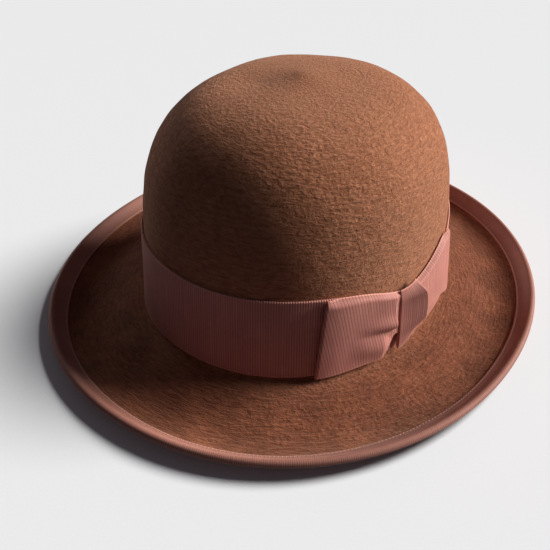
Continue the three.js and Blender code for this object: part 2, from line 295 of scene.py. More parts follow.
def add_mesh(name, points, faces, uvs, material, replaces=()):
    """A smooth piece in metres from points in millimetres, with its faces turned outwards."""
    a, b, c, d = (points[faces[:, corner]] for corner in range(4))
    volume = (a * np.cross(b, c)).sum() + (a * np.cross(c, d)).sum()
    if volume < 0:
        faces, uvs = faces[:, ::-1], uvs[:, ::-1]
    mesh = bpy.data.meshes.new(name)
    mesh.from_pydata((points * MM).tolist(), [], faces.tolist())
    layer = mesh.uv_layers.new(name="UVMap")
    layer.data.foreach_set("uv", uvs.astype(np.float32).ravel())
    mesh.materials.append(material)
    weld(mesh)
    mesh.shade_smooth()
    piece = bpy.data.objects.new(name, mesh)
    bpy.context.scene.collection.objects.link(piece)
    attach(piece, "root")
    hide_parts(*replaces)
    return piece


def weld(mesh):
    """Joins points that lie on each other, such as a ring that has shrunk to the tip of the crown."""
    work = bmesh.new()
    work.from_mesh(mesh)
    bmesh.ops.remove_doubles(work, verts=work.verts, dist=1e-7)
    work.to_mesh(mesh)
    work.free()


def sheet(name, front, back, u, v, material, replaces=(), wrap=False, pole=False):
    """A thin closed sheet between two grids of points. u and v are grids, or one line of values each."""
    rows, columns = front.shape[:2]
    across = columns if wrap else columns - 1
    inner = cells(rows - 1, across)
    corners = [on_side(0, inner), on_side(1, inner[:, ::-1]), edge_cells(rows - 1, across, wrap, pole)]
    side, row, column = np.moveaxis(np.concatenate(corners), -1, 0)
    faces = side * rows * columns + row * columns + column % columns
    u = np.broadcast_to(u, (rows, across + 1))
    v = np.broadcast_to(v.reshape(rows, -1), (rows, across + 1))
    uvs = np.stack([u[row, column], v[row, column]], axis=-1)
    points = np.concatenate([front.reshape(-1, 3), back.reshape(-1, 3)])
    return add_mesh(name, points, faces, uvs, material, replaces)


def ring(name, section, u, v, material, replaces=()):
    """A closed ring: rows go round the section, columns round the hat."""
    rows, columns = section.shape[:2]
    row, column = np.moveaxis(cells(rows, columns), -1, 0)
    faces = row % rows * columns + column % columns
    uvs = np.stack([u[column], v[row]], axis=-1)
    return add_mesh(name, section.reshape(-1, 3), faces, uvs, material, replaces)


def walked(points):
    """The length walked along a line of points, from its start."""
    return np.concatenate([[0], np.cumsum(np.linalg.norm(np.diff(points, axis=0), axis=1))])


# ---------------------------------------------------------------- materials


def node(tree, kind, inputs=None, **settings):
    """A shader node. An input is a plain value or another node's socket."""
    made = tree.nodes.new("ShaderNode" + kind)
    for setting, value in settings.items():
        setattr(made, setting, value)
    for name, value in (inputs or {}).items():
        if isinstance(value, bpy.types.NodeSocket):
            tree.links.new(value, made.inputs[name])
        else:
            made.inputs[name].default_value = value
    return made


def coordinates(tree, kind, scale=(1, 1, 1)):
    """The piece's own coordinates (metres, or the UV map's units), scaled."""
    source = node(tree, "TexCoord").outputs[kind]
    return node(tree, "Mapping", {"Vector": source, "Scale": scale}).outputs["Vector"]


def noise(tree, vector, scale, detail=2.0, roughness=0.5, distortion=0.0):
    inputs = {"Vector": vector, "Scale": scale, "Detail": detail, "Roughness": roughness}
    return node(tree, "TexNoise", {**inputs, "Distortion": distortion}).outputs["Fac"]


def maths(tree, operation, first, second=0.0):
    return node(tree, "Math", {0: first, 1: second}, operation=operation).outputs[0]


def spread(tree, value, low, high):
    """Stretches a value so that low becomes 0 and high becomes 1."""
    inputs = {"Value": value, "From Min": low, "From Max": high}
    return node(tree, "MapRange", inputs).outputs["Result"]


def blend_colours(tree, factor, first, second, way="MIX"):
    made = node(tree, "Mix", data_type="RGBA", blend_type=way)
    for socket, value in ((0, factor), (6, first), (7, second)):
        if isinstance(value, bpy.types.NodeSocket):
            tree.links.new(value, made.inputs[socket])
        else:
            made.inputs[socket].default_value = value if socket == 0 else (*value, 1)
    return made.outputs[2]


def bump(tree, height, distance, strength=1.0, normal=None):
    inputs = {"Height": height, "Distance": distance, "Strength": strength}
    if normal is not None:
        inputs["Normal"] = normal
    return node(tree, "Bump", inputs).outputs["Normal"]


def start_material(name, **values):
    """A material, its tree and its shader, with plain values on the shader's own sockets."""
    material = bpy.data.materials.new(name)
    material.use_nodes = True
    shader = material.node_tree.nodes["Principled BSDF"]
    for socket, value in values.items():
        shader.inputs[socket.replace("_", " ")].default_value = value
    return material, material.node_tree, shader


def connect(tree, shader, **sockets):
    for name, output in sockets.items():
        tree.links.new(output, shader.inputs[name.replace("_", " ")])


def felt_material():
    """Short brushed fur felt: mottled browns, fine fibres lying round the hat, and a soft pale bloom. The
    brim has painted shade, darker and redder than the crown.
    """
    material, tree, shader = start_material(
        "felt",
        Roughness=0.9,
        Specular_IOR_Level=0.15,
        Sheen_Weight=0.25,
        Sheen_Roughness=0.45,
        Sheen_Tint=(0.95, 0.62, 0.45, 1),
    )
    place = coordinates(tree, "Object")
    along = coordinates(tree, "UV", (0.17, 0.62, 1))
    clouds = noise(tree, place, 55, 3)
    mottle = noise(tree, place, 420, 3, 0.6)
    streaks = noise(tree, along, 1.0, 4, 0.7, 0.5)
    specks = noise(tree, place, 2600, 1)
    colour = blend_colours(tree, spread(tree, clouds, 0.3, 0.7), *FELT_BROWNS)
    colour = blend_colours(tree, spread(tree, mottle, 0.35, 0.7), colour, FELT_MOTTLE)
    colour = blend_colours(tree, spread(tree, streaks, 0.38, 0.6), FELT_SHADE, colour)
    colour = blend_colours(tree, spread(tree, specks, 0.6, 0.8), colour, FELT_FLECK)
    # The UV map's second part is millimetres down from the tip, so the brim lies beyond the wall's foot.
    down = node(tree, "SeparateXYZ", {0: coordinates(tree, "UV")}).outputs[1]
    patches = noise(tree, place, 38, 3, 0.6)
    uneven_down = maths(tree, "ADD", down, maths(tree, "MULTIPLY", patches, 20.0))
    on_brim = spread(tree, uneven_down, WALL_LENGTH, WALL_LENGTH + 22)
    # Painted shade: the brim's felt is multiplied darker and redder than the crown's, for the weaker light
    # that falls on the brim.
    brim_painted_shade = blend_colours(tree, spread(tree, patches, 0.35, 0.65), *BRIM_PAINTED_SHADE_TINTS)
    brim_with_painted_shade = blend_colours(tree, 1.0, colour, brim_painted_shade, "MULTIPLY")
    colour = blend_colours(tree, on_brim, colour, brim_with_painted_shade)
    fuzz = maths(tree, "ADD", streaks, maths(tree, "MULTIPLY", mottle, 0.6))
    normal = bump(tree, fuzz, 0.0015, 0.9)
    normal = bump(tree, specks, 0.0002, 0.4, normal)
    connect(tree, shader, Base_Color=colour, Normal=normal)
    return material


def grosgrain_material(name, base, light):
    """Ribbed ribbon: u counts ribs and v is the distance in from the nearer selvage, in millimetres. Its
    colour has painted shade in the grooves and painted highlights on the rib crests at the selvage.
    """
    material, tree, shader = start_material(
        name,
        Roughness=0.6,
        Specular_IOR_Level=0.2,
        Sheen_Weight=0.15,
        Sheen_Roughness=0.35,
        Sheen_Tint=(1, 0.72, 0.64, 1),
    )
    place = coordinates(tree, "Object")
    ribs = coordinates(tree, "UV", (1, 0, 0))
    parts = node(tree, "SeparateXYZ", {0: coordinates(tree, "UV")})
    half_turns = maths(tree, "MULTIPLY", parts.outputs[0], math.pi)
    rib_height = maths(tree, "ABSOLUTE", maths(tree, "SINE", half_turns))
    selvage = spread(tree, parts.outputs[1], 0.95, 0.35)
    each_rib = noise(tree, ribs, 0.9, 1)
    yarns = noise(tree, coordinates(tree, "UV", (6, 3.2, 1)), 1.0, 1)
    clouds = noise(tree, place, 60, 2)
    colour = blend_colours(tree, spread(tree, each_rib, 0.3, 0.7), base, light)
    colour = blend_colours(tree, spread(tree, clouds, 0.3, 0.75), colour, base)
    # Painted shade: the grooves between the ribs are darkened to 0.55 of the base colour.
    groove = tuple(share * 0.55 for share in base)
    colour = blend_colours(tree, spread(tree, rib_height, 0.1, 0.75), groove, colour)
    colour = blend_colours(tree, spread(tree, yarns, 0.5, 0.75), colour, light)
    # Painted highlight: the rib crests along the selvage are lightened, as where the rib ends catch the
    # light.
    pale = tuple(min(1.35 * share, 1) for share in light)
    colour = blend_colours(tree, maths(tree, "MULTIPLY", selvage, rib_height), colour, pale)
    normal = bump(tree, yarns, 0.0001, 0.35)
    connect(tree, shader, Base_Color=colour, Normal=normal)
    return material


def leather_material(name, dark, light):
    """Leather with pores, clouds of colour and fine creases, under a thin worn finish."""
    material, tree, shader = start_material(
        name, Specular_IOR_Level=0.5, Coat_Weight=0.08, Coat_Roughness=0.3
    )
    place = coordinates(tree, "Object")
    pores = node(tree, "TexVoronoi", {"Vector": place, "Scale": 1300, "Randomness": 1}).outputs["Distance"]
    clouds = noise(tree, place, 70, 4)
    creases = noise(tree, place, 420, 3, 0.6, 0.8)
    colour = blend_colours(tree, spread(tree, clouds, 0.3, 0.7), dark, light)
    pore = tuple(0.6 * share for share in dark)
    colour = blend_colours(tree, spread(tree, pores, 0.0, 0.25), pore, colour)
    roughness = spread(tree, creases, -0.9, 1.3)
    normal = bump(tree, pores, 0.00012, 0.5)
    normal = bump(tree, creases, 0.0003, 0.3, normal)
    connect(tree, shader, Base_Color=colour, Roughness=roughness, Normal=normal)
    return material


def satin_material():
    material, tree, shader = start_material(
        "lining_satin", Roughness=0.32, Specular_IOR_Level=0.6, Anisotropic=0.5, Sheen_Weight=0.2
    )
    weave = noise(tree, coordinates(tree, "UV", (8, 1.2, 1)), 1.0, 1)
    clouds = noise(tree, coordinates(tree, "Object"), 40, 2)
    colour = blend_colours(tree, spread(tree, clouds, 0.3, 0.7), *SATIN_BROWNS)
    colour = blend_colours(tree, spread(tree, weave, 0.45, 0.7), colour, SATIN_THREAD)
    connect(tree, shader, Base_Color=colour, Normal=bump(tree, weave, 0.00008, 0.4))
    return material


def thread_material():
    material, tree, shader = start_material("thread", Roughness=0.6, Sheen_Weight=0.3)
    strands = noise(tree, coordinates(tree, "Object"), 3000, 2)
    colour = blend_colours(tree, spread(tree, strands, 0.3, 0.7), *THREAD_PINKS)
    connect(tree, shader, Base_Color=colour, Normal=bump(tree, strands, 0.0001, 0.4))
    return material


def film_material():
    material, tree, shader = start_material(
        "tip_film", Base_Color=(0.9, 0.88, 0.82, 1), IOR=1.45, Transmission_Weight=0.9
    )
    haze = noise(tree, coordinates(tree, "Object"), 120, 3)
    connect(tree, shader, Roughness=spread(tree, haze, -0.4, 2.2))
    return material


def paper_material():
    material, tree, shader = start_material("paper_tab", Roughness=0.85)
    fibres = noise(tree, coordinates(tree, "Object"), 1800, 4)
    colour = blend_colours(tree, spread(tree, fibres, 0.3, 0.7), *PAPERS)
    connect(tree, shader, Base_Color=colour, Normal=bump(tree, fibres, 0.0001, 0.4))
    return material


def floor_material():
    material, tree, shader = start_material("floor", Roughness=0.9, Specular_IOR_Level=0.1)
    grain = noise(tree, coordinates(tree, "Object"), 900, 2)
    colour = blend_colours(tree, spread(tree, grain, 0.2, 0.8), *FLOOR_GREYS)
    connect(tree, shader, Base_Color=colour)
    return material


felt = felt_material()
ribbon = grosgrain_material("grosgrain", *RIBBON_PINKS)
edge_ribbon = grosgrain_material("edge_grosgrain", *BINDING_PINKS)
inner_ribbon = grosgrain_material("inner_grosgrain", *INNER_BOW_PINKS)
leather = leather_material("sweatband_leather", *LEATHER_BROWNS)
reed = leather_material("reed_cover", *REED_BROWNS)
satin = satin_material()
thread = thread_material()
film = film_material()
paper = paper_material()


# ---------------------------------------------------------------- felt


def felt_body():
    """Crown and brim of one felt, with the slight unevenness of a hand-blocked hat."""
    columns = 440
    arcs = np.linspace(0, HEAD_ROUND, columns + 1)
    angle = angle_at(arcs[:-1])[None, :]
    shares = crown_shares(84)[:, None]
    outside = on_dome(angle, 0, shares[:-1])
    wall_foot = on_crown(angle, 0, np.linspace(shares[-2, 0] * CROWN_HEIGHT, BREAK_FILLET, 3)[1:, None])
    turns = np.radians(np.linspace(0, 90, 7)[1:, None])
    fillet_out = BREAK_FILLET * (1 - np.cos(turns))
    fillet = oval(angle, fillet_out, BREAK_HEIGHT + BREAK_FILLET * (1 - np.sin(turns)))
    brim_shares = np.linspace(BREAK_FILLET / BRIM_REACH, 1, 47)[1:, None]
    edge_turns = np.linspace(90, -90, 7)[1:-1, None]
    top = around_brim(angle, brim_shares, FELT / 2, 90)
    edge = around_brim(angle, np.ones_like(edge_turns), FELT / 2, edge_turns)
    under = around_brim(angle, brim_shares[::-1], FELT / 2, -90)
    foot = oval(angle, -FELT, np.full((1, 1), BREAK_HEIGHT - FELT))
    inside = on_dome(angle, FELT, shares[::-3][1:])
    outer = np.concatenate([outside, wall_foot, fillet, top])
    # This grid's normals face into the hat.
    outer = outer - grid_normals(outer, wrap=True) * felt_relief(outer)[..., None]
    section = np.concatenate([outer, edge, under, foot, inside])
    lengths = walked(section[:, columns // 5])
    return ring("felt", section, arcs, np.append(lengths, lengths[-1]), felt, ["felt_body"])


def felt_relief(points):
    """How far the felt stands proud of its even shape. It lies flat under ribbon and dips beside the tip."""
    radius = np.hypot(points[..., 0], points[..., 1])
    rise = points[..., 2] - BREAK_HEIGHT
    on_wall = smooth_step(rise, BAND_TOP, BAND_TOP + 12)
    on_brim = smooth_step(radius, 104, 112) * (1 - smooth_step(radius, 128, 138)) * (rise < 8)
    broad = 0.35 * waves(points, 55, 3)
    fine = 0.1 * waves(points, 14, 4, 11)
    relief = (broad + fine) * (on_wall + 0.6 * on_brim)
    for x, y, depth in TIP_DENTS:
        away = np.hypot(points[..., 0] - x, points[..., 1] - y)
        relief = relief - depth * hump(away, 0, TIP_DENT_WIDTH) * (rise > 100)
    return relief


felt_body()


# ---------------------------------------------------------------- ribbons


def along_hat(length, pitch, first=0.0, samples=RIB_SAMPLES):
    """Evenly spaced lengths that sample each rib, and the rib count at each."""
    ribs = round(length / pitch)
    lengths = first + np.linspace(0, length, ribs * samples + 1)
    return lengths, np.linspace(0, ribs, ribs * samples + 1)


def cross_rows(count):
    """Positions across a ribbon from -1 to 1, closer together at its two edges."""
    step = np.linspace(-1, 1, count)
    return np.sin(np.pi / 2 * step) * 0.5 + step * 0.5


def selvage(inwards):
    """A ribbon's woven edge: 1 on the outermost 0.3 mm, where the weft turns back, and 0 further in."""
    return 1 - smooth_step(inwards, 0.3, 1.1)


def hat_band():
    rows = cross_rows(26)[:, None]
    arcs, ribs = along_hat(HEAD_ROUND, BAND_RIB)
    angle = angle_at(arcs[:-1])[None, :]
    ridge = rib(ribs[:-1])[None, :]
    inwards = (1 - np.abs(rows)) * BAND_WIDTH / 2
    edge = selvage(inwards)
    line = np.stack([arcs[:-1], 0 * arcs[:-1], 0 * arcs[:-1]], axis=-1)
    wander = 0.12 * waves(line, 60, 5)[None, :]
    rise = blend(BAND_BOTTOM, band_top(angle), (rows + 1) / 2)
    rise = rise + edge * (ridge - 0.5) * 0.5 * np.sign(rows) + wander
    drape = 0.18 * waves(on_crown(angle, 0, rise), 70, 6)
    out = GAP + CLOTH + 0.18 + 0.2 * ridge * (1 - 0.1 * edge) + 0.15 * edge * ridge + drape
    front = on_crown(angle, out, rise)
    back = on_crown(angle, GAP + 0 * out, rise)
    piece = sheet("band_ribbon", front, back, ribs, inwards, ribbon, ["hat_band"], wrap=True)


hat_band()


def brim_binding():
    """Ribbon folded over the edge of the brim: along the underside, round the edge and over the top."""
    arcs, ribs = along_hat(EDGE_ROUND, BINDING_RIB, samples=3)
    angle = angle_at(arcs[:-1], EDGE_WALK)[None, :]
    ridge = rib(ribs[:-1])[None, :]
    first = 1 - BINDING_WIDTH / BRIM_REACH
    leg = blend(first, 1, np.linspace(0, 1, 6) ** 0.8)
    # One row lies close to the selvage, so that its scallops stay at the edge.
    leg[1] = first + 0.6 / BRIM_REACH
    shares = np.concatenate([leg[:-1], np.ones(7), leg[-2::-1]])[:, None]
    turns = np.concatenate([np.full(5, -90), np.linspace(-90, 90, 7), np.full(5, 90)])[:, None]
    fold = FELT / 2 + GAP
    width = walked(around_brim(np.array(90.0), shares[:, 0], fold + 0.5, turns[:, 0]))
    inwards = np.minimum(width, width[-1] - width)
    ends = selvage(inwards)[:, None]
    pull = 1 - 0.3 * ends * (ridge - 0.5) / BRIM_REACH
    thickness = 0.35 + 0.17 * ridge + 0.1 * ends * ridge
    front = around_brim(angle, shares * pull, fold + thickness, turns)
    back = around_brim(angle, shares + 0 * ridge, fold, turns)
    piece = sheet(
        "binding_ribbon", front, back, ribs, inwards, edge_ribbon, ["brim_binding"], wrap=True
    )


brim_binding()


def ribbon_sheet(name, node_name, middle, phase, inwards, material, lift=0.2):
    """A ribbed ribbon about a grid of points: ribs rise on the side that its normals face."""
    normals = grid_normals(middle)
    ridge = rib(phase)
    edge = selvage(inwards)
    front = middle + normals * (CLOTH / 2 + ridge * (lift + 0.12 * edge))[..., None]
    back = middle - normals * CLOTH / 2
    return sheet(name, front, back, phase, inwards, material, [node_name])


def binding_lap():
    """The binding's end, laid over its other end at the back and turned under."""
    arcs, ribs = along_hat(12.0, BINDING_RIB, arc_at_edge(BACK_ANGLE) - 6.0)
    rows = cross_rows(16)[::-1, None]
    share = 1 - BINDING_WIDTH / BRIM_REACH * (0.5 - 0.5 * rows)
    angle = angle_at(arcs, EDGE_WALK)[None, :]
    turned_under = 0.35 * hump(np.abs(arcs - arcs.mean()), 6, 0.8)[None, :]
    radius = FELT / 2 + GAP + RIBBON + 0.35 - turned_under
    middle = around_brim(angle, share, radius, 90)
    inwards = (1 - np.abs(rows)) * BINDING_WIDTH / 2 + 0 * angle
    phase = np.broadcast_to(ribs, inwards.shape)
    ribbon_sheet("binding_lap", "binding_join", middle, phase, inwards, edge_ribbon, 0.15)


def arc_at_edge(angle):
    return np.interp(angle, *EDGE_WALK)


binding_lap()


def bow_base():
    """The flat length of ribbon between the band and the bow's loops."""
    margin, inside_fold = 4.0, 5.0
    first, last = arc_at(FRONT_FOLD + inside_fold), arc_at(REAR_FOLD - inside_fold)
    arcs, ribs = along_hat(last - first, BAND_RIB, first)
    rows = cross_rows(14)[::-1, None]
    angle = angle_at(arcs)[None, :]
    foot, top = bow_foot(angle) + margin, bow_top(angle) - margin
    rise = blend(foot, top, (rows + 1) / 2)
    inwards = (1 - np.abs(rows)) * (top - foot) / 2
    middle = on_crown(angle, PAD_OUT, rise)
    phase = np.broadcast_to(ribs, inwards.shape)
    piece = ribbon_sheet("bow_pad", "bow_base", middle, phase, inwards, ribbon, 0.15)


bow_base()


def front_relief(share, rise):
    """A crease that runs into the knot, with a ridge over it and a lobe below it."""
    deepening = smooth_step(share, 0.3, 0.85)
    crease = blend(25.0, 16.5, share)
    ridge = 2.2 * deepening * hump(rise, crease + 4.2, 4.2)
    groove = -2.6 * deepening * np.exp(-np.abs(rise - crease) / 1.5)
    lobe = 1.7 * smooth_step(share, 0.25, 0.6) * hump(rise, crease - 8.5, 6)
    hollow = -2.6 * smooth_step(share, 0.64, 0.78) * (1 - smooth_step(rise, crease - 4, crease))
    under_knot = 1 - smooth_step(share, 0.78, 0.85)
    return (ridge + groove + lobe) * under_knot + hollow - 2.4 * (1 - under_knot)


def rear_relief(share, rise):
    """Nearly flat: one soft swell along its middle, dying away at the fold."""
    return 0.5 * hump(rise, 26, 16) * smooth_step(share, 0.0, 0.5)


def bow_loop(
    name, node_name, fold, side, fold_out, middle_out, knot_out, relief, rib_lean, edge_out
):
    """A flattened loop of stiff ribbon: its back layer lies on the pad and its front layer runs to the knot.

    The front layer has its own out at the fold, in the middle, at the knot and along its top edge.
    """
    rows = cross_rows(46)[::-1, None]
    back_out = LOOP_BACK_OUT
    fold_angle = fold - side * FOLD_LEAN * rows / 2
    back_share = np.linspace(1, 0, 60)[:-1]
    bend = np.linspace(0, 1, 13)
    front_share = np.linspace(0, 1, 300)[1:]
    share = np.concatenate([back_share, 0 * bend, front_share])[None, :]
    turn = np.concatenate([0 * back_share, bend, 0 * front_share + 1])[None, :]
    angle = blend(fold_angle, BOW_ANGLE, share)
    # The back layer hides behind the front one, whose top edge rolls in against the crown.
    hidden = 2.0 * (1 - smooth_step(turn, 0.2, 1)) * smooth_step(share + turn, 0, 0.1)
    rise = blend(bow_foot(angle), bow_top(angle) - hidden, (rows + 1) / 2)
    far_half = blend(fold_out, middle_out, smooth_step(share, 0, 0.45))
    front_out = blend(far_half, knot_out, smooth_step(share, 0.5, 0.95)) + relief(share, rise)
    # The fold closes at its top corner.
    rolled = smooth_step(rows, 0.84, 1)
    radius = (fold_out - back_out) / 2 * (1 - 0.85 * rolled)
    bent = np.pi * turn
    at_fold = (share == 0) & (turn < 1)
    closed_out = blend(back_out + 2 * radius, edge_out, smooth_step(share, 0, 0.15))
    front_out = blend(np.maximum(front_out, back_out + 0.7), closed_out, rolled)
    out = np.where(turn >= 1, front_out, back_out)
    out = np.where(at_fold, back_out + radius * (1 - np.cos(bent)), out)
    beyond = np.where(at_fold, radius * np.sin(bent), 0)
    middle = on_crown(angle_at(arc_at(angle) + side * beyond), out, rise)
    lengths = walked(middle[len(rows) // 2])
    samples = 8
    count = round(lengths[-1] / LOOP_RIB)
    even = np.linspace(0, lengths[-1], count * samples + 1)
    middle = np.stack([resample(line, lengths, even) for line in middle])
    share_even = np.interp(even, lengths, share[0])
    phase = even / LOOP_RIB + rib_lean * (1 - 0.8 * share_even) * rows * BAND_WIDTH / 2 / LOOP_RIB
    inwards = (1 - np.abs(rows)) * BAND_WIDTH / 2 + 0 * phase
    if side > 0:
        middle, phase, inwards = middle[::-1], phase[::-1], inwards[::-1]
    # The loop narrows to the knot, so less cloth shows than its full width would have.
    piece = ribbon_sheet(name, node_name, middle, phase, inwards, ribbon)


def resample(line, lengths, even):
    return np.stack([np.interp(even, lengths, line[:, axis]) for axis in range(3)], axis=-1)


bow_loop("front_loop", "bow_front_loop", FRONT_FOLD, -1, 5.0, 3.6, 5.4, front_relief, 0.34, 1.9)
bow_loop("rear_loop", "bow_rear_loop", REAR_FOLD, 1, 3.7, 3.5, 3.6, rear_relief, 0.1, 1.0)


def bow_knot():
    """A short folded length of ribbon over the bow's middle. Its rear edge stands prouder than its front."""
    rows = cross_rows(46)[::-1, None]
    tuck_out, front_out, rear_out = 2.6, 4.4, 10.6
    front_angle = BOW_ANGLE - 4.5
    rear_angle = BOW_ANGLE + 2.2 + 2.2 * (1 - rows**2)
    corner = np.sin(np.pi / 2 * np.linspace(0, 1, 10))
    # One line round the knot in plan: up the front side, over the face, and down the rear side.
    side_up = np.stack([0 * corner, 0.86 * corner], axis=-1)
    face = np.stack([np.linspace(0.03, 0.97, 60), np.ones(60)], axis=-1)
    side_down = np.stack([1 + 0 * corner, 0.86 * corner[::-1]], axis=-1)
    plan = np.concatenate([side_up, face, side_down])
    across, up = plan[None, :, 0], plan[None, :, 1]
    foot = blend(2.4, 11.0, across**1.5) + 1.0 * (1 - up)
    angle = blend(front_angle, rear_angle, across)
    top = bow_top(angle) + 1.1 + 3.6 * across - 0.9 * (1 - up)
    rise = blend(foot, top, (rows + 1) / 2)
    swell = 1 - blend(0.5, 0.85, across) * smooth_step(rows, 0.62, 1)
    swell = swell - blend(0.3, 0.6, across) * smooth_step(-rows, 0.4, 1)
    proud = blend(front_out, rear_out, across**1.3) - tuck_out
    middle = on_crown(angle, tuck_out + up * proud * swell, rise)
    lengths = walked(middle[len(rows) // 2])
    count = round(lengths[-1] / BAND_RIB)
    even = np.linspace(0, lengths[-1], count * 6 + 1)
    middle = np.stack([resample(line, lengths, even) for line in middle])
    phase = np.broadcast_to(even / BAND_RIB, middle.shape[:2])
    seen_width, folded_width = 36.0, 38.0
    inwards = (1 - np.abs(rows)) * seen_width / 2 + 0 * phase
    piece = ribbon_sheet("knot_ribbon", "bow_knot", middle, phase, inwards, ribbon, 0.16)


bow_knot()


# ---------------------------------------------------------------- stitches


def stitches(name, starts, ends, outwards, radius, lift, slot):
    """Short arched stitches of thread, one from each start to its end, that rise along outwards."""
    sides, stations = 7, 7
    share = np.linspace(0, 1, stations)[None, :, None]
    turn = np.linspace(0, 2 * np.pi, sides + 1)[:-1]
    along = ends - starts
    along = along / np.linalg.norm(along, axis=1, keepdims=True)
    beside = np.cross(along, outwards)
    arch = np.sin(np.pi * share)
    middle = starts[:, None] + (ends - starts)[:, None] * share + lift * arch * outwards[:, None]
    thick = radius * arch**0.5
    around = np.cos(turn)[None, :, None] * beside[:, None] + np.sin(turn)[None, :, None] * outwards[:, None]
    points = middle[:, :, None] + thick[..., None] * around[:, None]
    row, column = np.moveaxis(cells(stations - 1, sides), -1, 0)
    one = row * sides + column % sides
    first = np.arange(len(starts))[:, None, None] * stations * sides
    faces = (first + one[None]).reshape(-1, 4)
    uvs = np.tile(np.stack([column / sides, row / stations], axis=-1), (len(starts), 1, 1))
    return add_mesh(name, points.reshape(-1, 3), faces, uvs, thread)


def stitch_line(length, pitch, stitch):
    starts = np.arange(0, length - pitch / 2, pitch)
    return starts, starts + stitch


def binding_stitches(name, turn):
    """The row of stitches that holds one leg of the binding to the brim, just inside its selvage."""
    pitch, stitch, inset = 2.1, 1.35, 0.9
    share = 1 - (BINDING_WIDTH - inset) / BRIM_REACH
    start, end = stitch_line(EDGE_ROUND, pitch, stitch)
    angles = [angle_at(arc, EDGE_WALK) for arc in (start, end)]
    surface = FELT / 2 + GAP + 0.52
    points = [around_brim(angle, share, surface, turn) for angle in angles]
    above = around_brim(angles[0], share, surface + 1, turn)
    stitches(name, *points, above - points[0], 0.24, 0.16, "ribbon")


binding_stitches("binding_stitches_top", 90)
binding_stitches("binding_stitches_under", -90)


# ---------------------------------------------------------------- inside the crown


def sweatband():
    """A strip of leather against the lining, with a rolled top edge and a tooled line under it."""
    columns = 520
    arcs = np.linspace(0, HEAD_ROUND, columns + 1)
    angle = angle_at(arcs[:-1])[None, :]
    foot = 2 * CORD_RADIUS + GAP - FELT
    rise = blend(foot, SWEATBAND_TOP, cross_rows(40)[:, None] / 2 + 0.5)
    tooled = -0.3 * hump(rise, SWEATBAND_TOP - 4, 0.5) - 0.25 * hump(rise, SWEATBAND_TOP - 5.4, 0.4)
    worn = 0.16 * waves(on_crown(angle, 0, rise), 24, 21, 9)
    rolled = -0.35 * hump(rise, SWEATBAND_TOP, 1.2) - 0.3 * hump(rise, foot, 1.0)
    back = on_crown(angle, SWEATBAND_OUT + LEATHER, rise)
    front = on_crown(angle, SWEATBAND_OUT - tooled * 0.6 - worn * 0.6 - rolled, rise)
    slot = "sweatband_leather"
    piece = sheet(slot, front, back, arcs, rise[:, 0], leather, ["sweatband"], wrap=True)
    round_inside = walk_round(SWEATBAND_OUT)[1][-1]


def sweatband_stitches(name, rise):
    pitch, stitch = 2.8, 1.8
    start, end = stitch_line(HEAD_ROUND, pitch, stitch)
    points = [on_crown(angle_at(arc), SWEATBAND_OUT - 0.02, rise) for arc in (start, end)]
    inwards = on_crown(angle_at(start), SWEATBAND_OUT - 1.02, rise) - points[0]
    stitches(name, *points, inwards, 0.26, 0.2, "sweatband_leather")


def cord(name, node_name, middle, radius, material):
    """A covered cord round the hat, whose cover is twisted over the strands beneath."""
    columns, sides = middle.shape[0], 14
    twists, groove = 150, 0.07
    turn = np.linspace(0, 2 * np.pi, sides + 1)[:-1, None]
    outwards = middle * (1, 1, 0)
    outwards /= np.linalg.norm(outwards, axis=1, keepdims=True)
    strand = np.linspace(0, 2 * np.pi * twists, columns + 1)[None, :-1]
    thick = (radius * (1 - groove + groove * np.sin(strand + 2 * turn)))[..., None]
    section = middle + thick * (np.cos(turn)[..., None] * outwards + np.sin(turn)[..., None] * (0, 0, 1))
    lengths = walked(np.concatenate([middle, middle[:1]]))
    around = np.linspace(0, 2 * np.pi * radius, sides + 1)
    ring(name, section, lengths, around, material, [node_name])


def round_hat(columns):
    return angle_at(np.linspace(0, HEAD_ROUND, columns + 1)[:-1])


def side_lining():
    """Satin round the inside of the wall, slightly puckered into the seam at its top."""
    angle = round_hat(480)[None, :]
    share = np.linspace(LINING_FOOT, LINING_SEAM - 0.01, 44)[:, None]
    near_seam = smooth_step(share, LINING_SEAM - 0.14, LINING_SEAM)
    seam_pucker = 0.35 * near_seam * np.sin(np.radians(angle) * LINING_PUCKERS)
    pucker = seam_pucker + 0.35 * waves(on_dome(angle, 0, share), 26, 31)
    back = on_dome(angle, LINING_INSET, share + 0 * angle)
    front = on_dome(angle, LINING_INSET + SATIN + 0.3 + 0.4 * pucker, share)
    arcs = np.linspace(0, HEAD_ROUND, angle.shape[1] + 1)
    heights = share[:, 0] * CROWN_HEIGHT
    piece = sheet("side_lining", front, back, arcs, heights, satin, ["lining_side"], wrap=True)


def tip_lining():
    """The round of satin under the tip of the crown, eased into the seam with fine puckers."""
    angle = round_hat(360)[None, :]
    shares = crown_shares(70)
    share = np.append(shares[shares > LINING_SEAM + 0.014], LINING_SEAM + 0.01)[:, None]
    near_seam = 1 - smooth_step(share, LINING_SEAM, LINING_SEAM + 0.08)
    pucker = 0.4 * near_seam * np.sin(np.radians(angle) * LINING_PUCKERS)
    soft = 0.3 * waves(on_dome(angle, 0, share), 24, 33) * (1 - crown_at_tip(share))
    back = on_dome(angle, LINING_INSET, share + 0 * angle)
    front = on_dome(angle, LINING_INSET + SATIN + 0.15 + 0.4 * (pucker + soft), share)
    arcs = np.linspace(0, HEAD_ROUND * 0.7, angle.shape[1] + 1)
    lengths = walked(back[:, 0])
    piece = sheet("tip_lining", front, back, arcs, lengths, satin, ["lining_tip"], True, True)


def crown_at_tip(share):
    """1 at the tip, where relief has to end in one point, and 0 a little below it."""
    return smooth_step(share, 0.99, 1.0)


